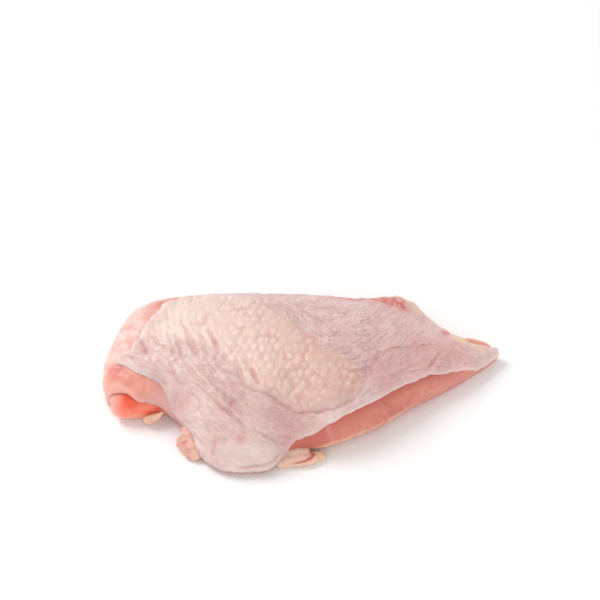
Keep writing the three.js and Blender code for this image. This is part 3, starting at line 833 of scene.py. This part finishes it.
    # The sheet's two sides: it is rounded off at its edges, and feathered out at the near left
    rounding = np.sqrt(np.clip(1 - (1 - np.clip(edge / EDGE_ROUNDING, 0, 1)) ** 2, 0, 1))
    feathered = (1 - smooth(x, -56, -44)) * (1 - above_tip)
    rounding = rounding * mix(1, smooth(edge, 0, 7), feathered)
    lift = EDGE_LIFT * (1 - smooth(edge, 0, 7)) * (1 - smooth(x, -72, -60)) * mix(0.1, 1, above_tip)
    inner_height = SKIN_GAP + lift
    thinning = mix(mix(*THIN_EDGE, feathered), 1, rounding)
    outer_height = inner_height + (SKIN_THICKNESS + relief) * thinning
    outer_height = np.maximum(outer_height, inner_height + mix(*LEAST_THICKNESS, feathered))
    height = np.where(outer, outer_height[column, row], inner_height[column, row])
    points = surface[column, row] + normal[column, row] * height[:, None]
    points[:, 2] = np.maximum(points[:, 2], LOWEST)

    # What the material reads: how much of each mark there is, and which way the fine lines flow
    marks = {
        "tract": tract,
        "pebble": np.clip(pebble, 0, 1),
        "valley": valley,
        "blush": blobs(BLUSHES, x, y),
        "hollow": hollow,
        "rim": 0.35 * (1 - smooth(edge, 0.4, 2.4)) + 0.5 * (1 - smooth(from_left, 1, 7)) * above_tip,
        "spot": blobs(SPOTS, x, y),
        "fatty": beads,
        "raw": np.clip(raw, 0, 1),
        "far_lines": far_side * mix(1, 0.45, smooth(y, 24, 44)) * mix(1, 0.6, smooth(x, 40, 70)),
        "near_lines": near_side * smooth(x, -50, -25) * (1 - slanting) * smooth(edge, 0.5, 5),
        "slant_lines": near_side * slanting * smooth(x, -66, -46) * smooth(edge, 0.5, 5),
        "pale": blobs(PALE, x, y),
        "far_flow": np.stack([x, far_v, 0 * x], -1),
        "near_flow": np.stack([near_u, near_d, 0 * x], -1),
        "slant_flow": np.stack([down_right, beside, 0 * x], -1),
    }
    marks = {name: values[column, row] for name, values in marks.items()}
    finished("chicken_skin", bm, points, "skin", poultry_skin(), marks)


def fillet_half_sizes(x, grown):
    """Half width, half height and middle of the inner fillet at x."""
    along = np.clip((x - FILLET_FROM[0]) / (FILLET_TO[0] - FILLET_FROM[0]), 0, 1)
    girth = (1 - np.abs(2 * along - 1) ** FILLET_BLUNTNESS) ** (1 / FILLET_BLUNTNESS)
    half = FILLET_HEIGHT / 2 * mix(1, FILLET_TAIL_HEIGHT, along)
    middle = mix(FILLET_FROM[1], FILLET_TO[1], along) + FILLET_BOW * np.sin(np.pi * along)
    width = FILLET_HALF_WIDTH * mix(1, FILLET_TAIL_WIDTH, along) * girth + grown
    return width, half * girth + grown, middle, half - FILLET_PRESSED


def fillet_roof(x, y):
    """The height up to which the inner fillet's bed is open above a point."""
    mouth = 0.5 + 0.5 * (1 - smooth(x, -80, -60)) * smooth(x, -86, -80)
    inside = (x > FILLET_FROM[0] - 0.4) & (x < FILLET_TO[0] + 1)
    width, height, middle, centre = fillet_half_sizes(x, mouth)
    share = np.abs(y - middle) / width
    roof = centre + height * np.maximum(1 - share**FILLET_SQUARENESS, 0) ** (1 / FILLET_SQUARENESS)
    return np.where(inside & (share < 1), roof, 0)


def squared(share):
    """Turns a round section into the fillet's squarer one."""
    return np.sign(share) * np.abs(share) ** (2 / FILLET_SQUARENESS)


FLESH_MARKS = ("shadow", "light", "peach", "beaded_with_painted_glints", "red", "cream", "lilac")
# Marks on the bare flesh: x, y, z, radius, strength
FLESH_BLOBS = {
    # light: paler flesh; at the blunt end partly painted light from the lamp on the left
    "light": [(-91, 3, 18, 6, 1), (-88, 14, 22, 9, 1), (-86, 26, 24, 11, 0.85), (-78, 38, 26, 10, 0.7),
              (-88, 34, 12, 9, 0.7), (82, 29, 12, 8, 0.6)],
    "peach": [(-88, -6, 15, 9, 1), (-80, -10, 20, 9, 0.9), (-74, -10, 17, 8, 0.6), (82, 28, 12, 10, 0.7)],
    "lilac": [(-69, -12, 16, 7, 1), (-65, -12, 12, 7, 1), (-62, -14, 9, 6, 0.8)],
    # The beaded places, whose whitish spots are painted glints
    "beaded_with_painted_glints": [(-80, 16, 28, 9, 1), (-78, 28, 28, 10, 0.9), (-84, 8, 25, 7, 0.6)],
    "red": [(-76, -5, 28, 4, 0.4), (-67, 36, 28, 6, 0.35), (41, 48, 22, 6, 1), (39, 52, 16, 6, 0.8),
            (-40, 50, 20, 9, 0.4)],
    "cream": [(50, 46, 20, 5.5, 0.9), (48, 52, 17, 4, 0.5), (85, 29, 14, 8, 0.8)],
}


MEAT_CELLS = (190, 250)  # round it and along it
FILLET_CELLS = (96, 96)
# The fillet's painted shade, under the muscle's overhanging lip
FILLET_SHADE = [(-79, -13, 16, 5.5, 1), (-66, -13, 9, 6, 0.25)]  # its deep red places
SEAM_LINE = (15, 0.3, 1.2)  # the pale line down the bare strip's seam: x, lean, half width


def blobs_3d(places, points):
    """Round soft marks in space, 1 at the most."""
    total = np.zeros(len(points))
    for *centre, radius, strength in places:
        total = total + strength * np.exp(-(((points - centre) ** 2).sum(-1) / radius**2))
    return np.clip(total, 0, 1)


def meat():
    """The large breast muscle, with the fillet's bed in its underside and the skin sunk in it."""
    flesh = raw_muscle("raw_breast_muscle", "#dd8d7d", "#cc6f62", "#e9ab9a")
    bm = ball_along_x(*MEAT_CELLS)
    ball = coordinates(bm)
    evenly = 1 - np.arccos(np.clip(ball[:, 0], -1, 1)) / np.pi
    x = mix(LEFT_END, RIGHT_END, mix((ball[:, 0] + 1) / 2, evenly, 0.5))
    ring = np.maximum(np.hypot(ball[:, 1], ball[:, 2]), POLE_RADIUS)
    y, belly, top = section(x, ball[:, 1] / ring)
    down = np.maximum(-ball[:, 2], 0) / ring
    up = np.maximum(ball[:, 2], 0) / ring
    depth_in = inside_skin(x, y)
    bare = 1 - smooth(depth_in, -2.5, 0)
    sunk = BED_DEPTH * smooth(depth_in, 0.5, FADE_LENGTH)
    # The underside is pressed flat, and the bare flesh beside the skin is uneven
    under = belly * (1 - smooth(down / FLAT_SHARE * end_round(x), 0, 1))
    upper = ball[:, 2] >= 0
    z = np.where(upper, top - sunk * up, under)
    cut = 0.35 * speckle(x, np.arctan2(ball[:, 2], ball[:, 1]) * 30, 5, 51)
    cut = cut + 0.5 * speckle(y, z, 7, 52) * (1 - smooth(x, -80, -60))
    z = z + np.where(upper, cut * bare * smooth(up, 0, 0.6) * end_round(x) ** 2, 0)
    at, half, height = TAIL_SWELL
    swell = height * np.exp(-(((x - at) / half) ** 2)) * smooth(y, 24.5, 27.5)
    z = z + np.where(upper, swell * bare * up, 0)
    # Two seams cross the near side: one at the blunt end, one on the bare strip
    near_side = (1 - smooth(ball[:, 1] / ring, -0.75, -0.45)) * smooth(z, 3, 8)
    for at, half, depth in SEAMS:
        y = y + depth * near_side * np.exp(-(((x - at) / half) ** 2))
    z = np.maximum(z, np.minimum(fillet_roof(x, y), top - 3))
    points = np.stack([x, y, np.maximum(z, 0)], -1)
    # The marks on it, with ragged borders; the skin hides those under it
    ragged = 5 * speckle(x + y, z, 11, 53) + 3 * speckle(x - y, z, 5, 54)
    uneven_places = points + ragged[:, None] * (0.8, 0.8, -0.8)
    marks = {name: blobs_3d(FLESH_BLOBS.get(name, ()), uneven_places) * (1 - smooth(depth_in, 0, 1.5))
             for name in FLESH_MARKS}
    on_near_side = y < middle_line(x)
    strip = smooth(x, -14, 6)
    seam_x, lean, seam_half = SEAM_LINE
    seam = np.exp(-(((x - seam_x + lean * (z - 8)) / seam_half) ** 2)) * near_side
    by_skin = smooth(depth_in, -5, 0) * np.where(on_near_side, 1, 1 - smooth(x, 56, 66))
    marks["shadow"] = np.clip(by_skin * strip + (1 - smooth(x, -2, 10)) * strip, 0, 1)
    foot = (1 - smooth(z - near_belly(x), 0.5, 2.2)) * smooth(x, 2, 10) * (1 - smooth(x, 40, 56))
    marks["cream"] = np.clip(marks["cream"] + 0.7 * (foot * on_near_side), 0, 1)
    # The blunt end's top is painted pale: partly the flesh's own paleness, partly painted light where the
    # lamp on the left falls brightest
    upper_left = (1 - smooth(x + ragged, -82, -64)) * smooth(y + ragged, -8, 4) * smooth(z + ragged, 6, 18)
    marks["light"] = np.clip(marks["light"] + 0.2 * seam + 0.65 * upper_left, 0, 1)
    marks["peach"] = np.clip(marks["peach"] + 0.45 * smooth(x, 50, 92) * on_near_side, 0, 1)
    finished("breast_muscle", bm, points, "main_muscle", flesh, marks)


def inner_fillet():
    """The inner fillet: more orange than the muscle over it, painted deep red in shade under the muscle's
    overhang, and painted light, paler, at its tip and foot.
    """
    orange = raw_muscle("raw_inner_fillet_muscle", "#ffb190", "#f16248", "#fabfa8")
    bm = ball_along_x(*FILLET_CELLS)
    ball = coordinates(bm)
    ring = np.maximum(np.hypot(ball[:, 1], ball[:, 2]), POLE_RADIUS)
    x = mix(FILLET_FROM[0], FILLET_TO[0], (ball[:, 0] + 1) / 2)
    width, height, middle, centre = fillet_half_sizes(x, 0)
    y = middle + squared(ball[:, 1] / ring) * width
    z = centre + squared(ball[:, 2] / ring) * height
    points = np.stack([x, y, np.maximum(z, 0)], -1)
    marks = {name: np.zeros(len(points)) for name in FLESH_MARKS}
    lip_shade = blobs_3d(FILLET_SHADE, points)
    # Painted shade under the muscle's overhang, deepest at its lip; painted light, paler, at the tip and the
    # foot
    marks["shadow"] = np.clip(0.25 * smooth(x, -87, -79) * smooth(z, 5, 12) + lip_shade, 0, 1)
    marks["light"] = 0.5 * (1 - smooth(z, 1, 5)) + 0.5 * (1 - smooth(x, -88, -81))
    finished("inner_fillet_muscle", bm, points, "inner_fillet", orange, marks)


# A trimming is made of lobes that have grown together: x, y, z, radius
TRIMMINGS = {
    "fat_knob": [(-52, -22.5, 4.6, 3.1), (-55, -28.4, 3.4, 3), (-54, -29.6, 3, 2.6), (-52.4, -32.6, 2.6, 2.7),
                 (-51, -25.5, 4, 4.2), (-50, -29.5, 3.2, 4.4), (-50.8, -19.5, 5, 2.8), (-48.5, -34, 2.6, 3)],
    "fat_fold": [(-9, -37.6, 2.4, 3.4), (-6.5, -37.5, 2.6, 3.8), (-4, -37.4, 2.7, 3.9), (-1.5, -37.2, 2.7, 4),
                 (1, -37, 2.7, 3.9), (3.5, -36.5, 2.6, 3.7), (6, -35.8, 2.4, 3.3), (9, -34.6, 2.1, 2.7),
                 (-9, -35, 5, 2.2), (-7, -34.8, 5.2, 2.3), (-5, -34.6, 5.3, 2.4), (-2.5, -34.3, 5.2, 2.4),
                 (0, -34, 5, 2.3), (2, -33.6, 4.7, 2.1)],
    "fat_shred": [(-71.8, -14.6, 4.2, 1.7), (-70.6, -15, 4.6, 2.4), (-69.2, -15.2, 5.3, 2.6),
                  (-67.8, -15.2, 6.3, 2.3), (-66.4, -15, 7.4, 1.8), (-64.8, -14.8, 8.6, 1.3)],
}
LOBE_FLATNESS = 0.78
CREAM_SHARE = {"fat_knob": 0.1, "fat_fold": 0.3, "fat_shred": 0.5}  # how much of it is clean fat
GROWN_TOGETHER = 0.4  # the grid, in millimetres, that joins the lobes
LUMPINESS = 0.55  # how high the lumps on a trimming stand, and how much higher on the knob
KNOB_LUMPINESS = 0.3
FOLD_LINE = (4.4, 0.12, 0.45)  # the red line along the fold: z, rise for each step in x, half width
SHRED_MIDDLE = (-69, 5.5, 2.2)  # where the shred is reddest: x, z, radius


def joined(bm):
    """The shells of a bmesh grown together into one, with their creases softened."""
    mesh = bpy.data.meshes.new("lobes")
    bm.to_mesh(mesh)
    rough = bpy.data.objects.new("lobes", mesh)
    bpy.context.scene.collection.objects.link(rough)
    grow = rough.modifiers.new("grow", "REMESH")
    grow.mode = "VOXEL"
    grow.voxel_size = GROWN_TOGETHER
    soften = rough.modifiers.new("soften", "SMOOTH")
    soften.factor = 0.5
    soften.iterations = 9
    bpy.context.view_layer.update()
    whole = bpy.data.meshes.new_from_object(rough.evaluated_get(bpy.context.evaluated_depsgraph_get()))
    bm.clear()
    bm.from_mesh(whole)
    bpy.data.objects.remove(rough)
    return bm


def trimming(name, lobes, fat):
    """A scrap of fat with pink tissue: lobes grown together, lumpy, flat where they lie."""
    bm = bmesh.new()
    for *middle, radius in lobes:
        shape = Matrix.Translation(middle) @ Matrix.Diagonal((radius, radius, radius * LOBE_FLATNESS, 1))
        bmesh.ops.create_icosphere(bm, subdivisions=3, radius=1, matrix=shape)
    joined(bm)
    points = coordinates(bm)
    normals = np.array([v.normal for v in bm.verts])
    x, y, z = points.T
    rough = speckle(x + 2 * z, y - 2 * z, 3.6, 61) + 0.45 * speckle(x - 2 * z, y + z, 1.7, 62)
    knob = 1.0 * (name == "fat_knob")
    points = points + normals * ((LUMPINESS + KNOB_LUMPINESS * knob) * rough)[:, None]
    points[:, 2] = np.maximum(points[:, 2], 0)
    away = np.sort([np.linalg.norm(points - lobe[:3], axis=-1) / lobe[3] for lobe in lobes], axis=0)
    crevice = 1 - smooth(away[1] - away[0], 0, 0.12)
    fold = 1.0 * (name == "fat_fold")
    line_z, slope, line_half = FOLD_LINE
    red_line = np.exp(-(((z - line_z - slope * x) / line_half) ** 2)) * smooth(x, -8, 0)
    shred = 1.0 * (name == "fat_shred")
    middle_x, middle_z, middle_radius = SHRED_MIDDLE
    middle = np.exp(-(np.hypot(x - middle_x, z - middle_z) / middle_radius) ** 2)
    # Painted shade in the knob's dips and crevices; the fold's red line and the shred's red middle are their
    # own colour
    dark = knob * (0.5 * (1 - smooth(rough, -0.7, -0.2)) + 0.2 * crevice)
    dark = dark + fold * red_line + 0.35 * shred * middle
    marks = {
        "shadow": np.clip(dark, 0, 1),
        "lilac": np.clip(smooth(z - slope * x, line_z, 5) * fold + 0.4 * knob, 0, 1),
        "red": (1 - smooth(x + 0.4 * (y + 27), -56, -49.5)) * knob,
        "cream": np.full(len(points), CREAM_SHARE[name]),
    }
    finished(name + "_scrap", bm, points, name, fat, marks)


FLOOR_HALF = 3  # in metres, as the lamps are
SKY_STRENGTH = 0.67
# A lamp up on the left, behind, a large weak one in front and a small one for the glints:
# its name, size, power and place
LAMPS = (
    ("window", 0.5, 5, (-0.6, 0.3, 0.85)),
    ("fill", 1.2, 3, (0.2, -0.9, 0.6)),
    ("spark", 0.12, 0.6, (-0.5, 0.1, 0.9)),
)


def stage_and_lights():
    """A plain pale floor, a bright soft sky and three lamps."""
    bm = bmesh.new()
    bmesh.ops.create_grid(bm, x_segments=2, y_segments=2, size=FLOOR_HALF)
    mesh = bpy.data.meshes.new("floor")
    bm.to_mesh(mesh)
    bm.free()
    floor = bpy.data.objects.new("floor", mesh)
    bpy.context.scene.collection.objects.link(floor)
    # Matt white card: bright and even, with nothing mirrored in it
    material, tree = new_tree("pale_floor")
    sockets = {"Base Color": colour("#fbfbfb"), "Roughness": 0.9}
    shader = add(tree, "ShaderNodeBsdfPrincipled", None, sockets)
    add(tree, "ShaderNodeOutputMaterial", None, {"Surface": shader.outputs[0]})
    mesh.materials.append(material)
    world = bpy.data.worlds.new("soft_sky")
    world.use_nodes = True
    sky = world.node_tree.nodes["Background"]
    sky.inputs["Color"].default_value = colour("#ffffff")
    sky.inputs["Strength"].default_value = SKY_STRENGTH
    bpy.context.scene.world = world
    for name, size, energy, place in LAMPS:
        lamp = bpy.data.lights.new(name, "AREA")
        lamp.size = size
        lamp.energy = energy
        light = bpy.data.objects.new(name, lamp)
        light.location = place
        light.rotation_euler = (-light.location).to_track_quat("-Z", "Y").to_euler()
        bpy.context.scene.collection.objects.link(light)


# The camera: the photograph looks along +Y, down at 48 degrees, and shows the breast below
# and a little right of its middle
ELEVATION = math.radians(48)
CAMERA_DISTANCE = 900.0
VIEW_WIDTH = 280.4  # millimetres across the picture, at that distance
AIM_RIGHT = -0.5
AIM_UP = 37.9
AIM_HEIGHT = 14.0
SENSOR = 36


def camera():
    """The camera, at the photograph's viewing angle."""
    back = Vector((0, -math.cos(ELEVATION), math.sin(ELEVATION)))
    up = Vector((0, math.sin(ELEVATION), math.cos(ELEVATION)))
    aim = Vector(SHIFT) + Vector((AIM_RIGHT, 0, AIM_HEIGHT)) + up * AIM_UP
    data = bpy.data.cameras.new("camera")
    data.sensor_width = SENSOR
    data.lens = SENSOR * CAMERA_DISTANCE / VIEW_WIDTH
    eye = bpy.data.objects.new("camera", data)
    eye.location = (aim + back * CAMERA_DISTANCE) * MM
    eye.rotation_euler = (-back).to_track_quat("-Z", "Y").to_euler()
    bpy.context.scene.collection.objects.link(eye)
    bpy.context.scene.camera = eye
    bpy.context.scene.view_settings.view_transform = "Standard"


camera()
stage_and_lights()
meat()
inner_fillet()
fat = soft_fat()
for name, lobes in TRIMMINGS.items():
    trimming(name, lobes, fat)
chicken_skin()
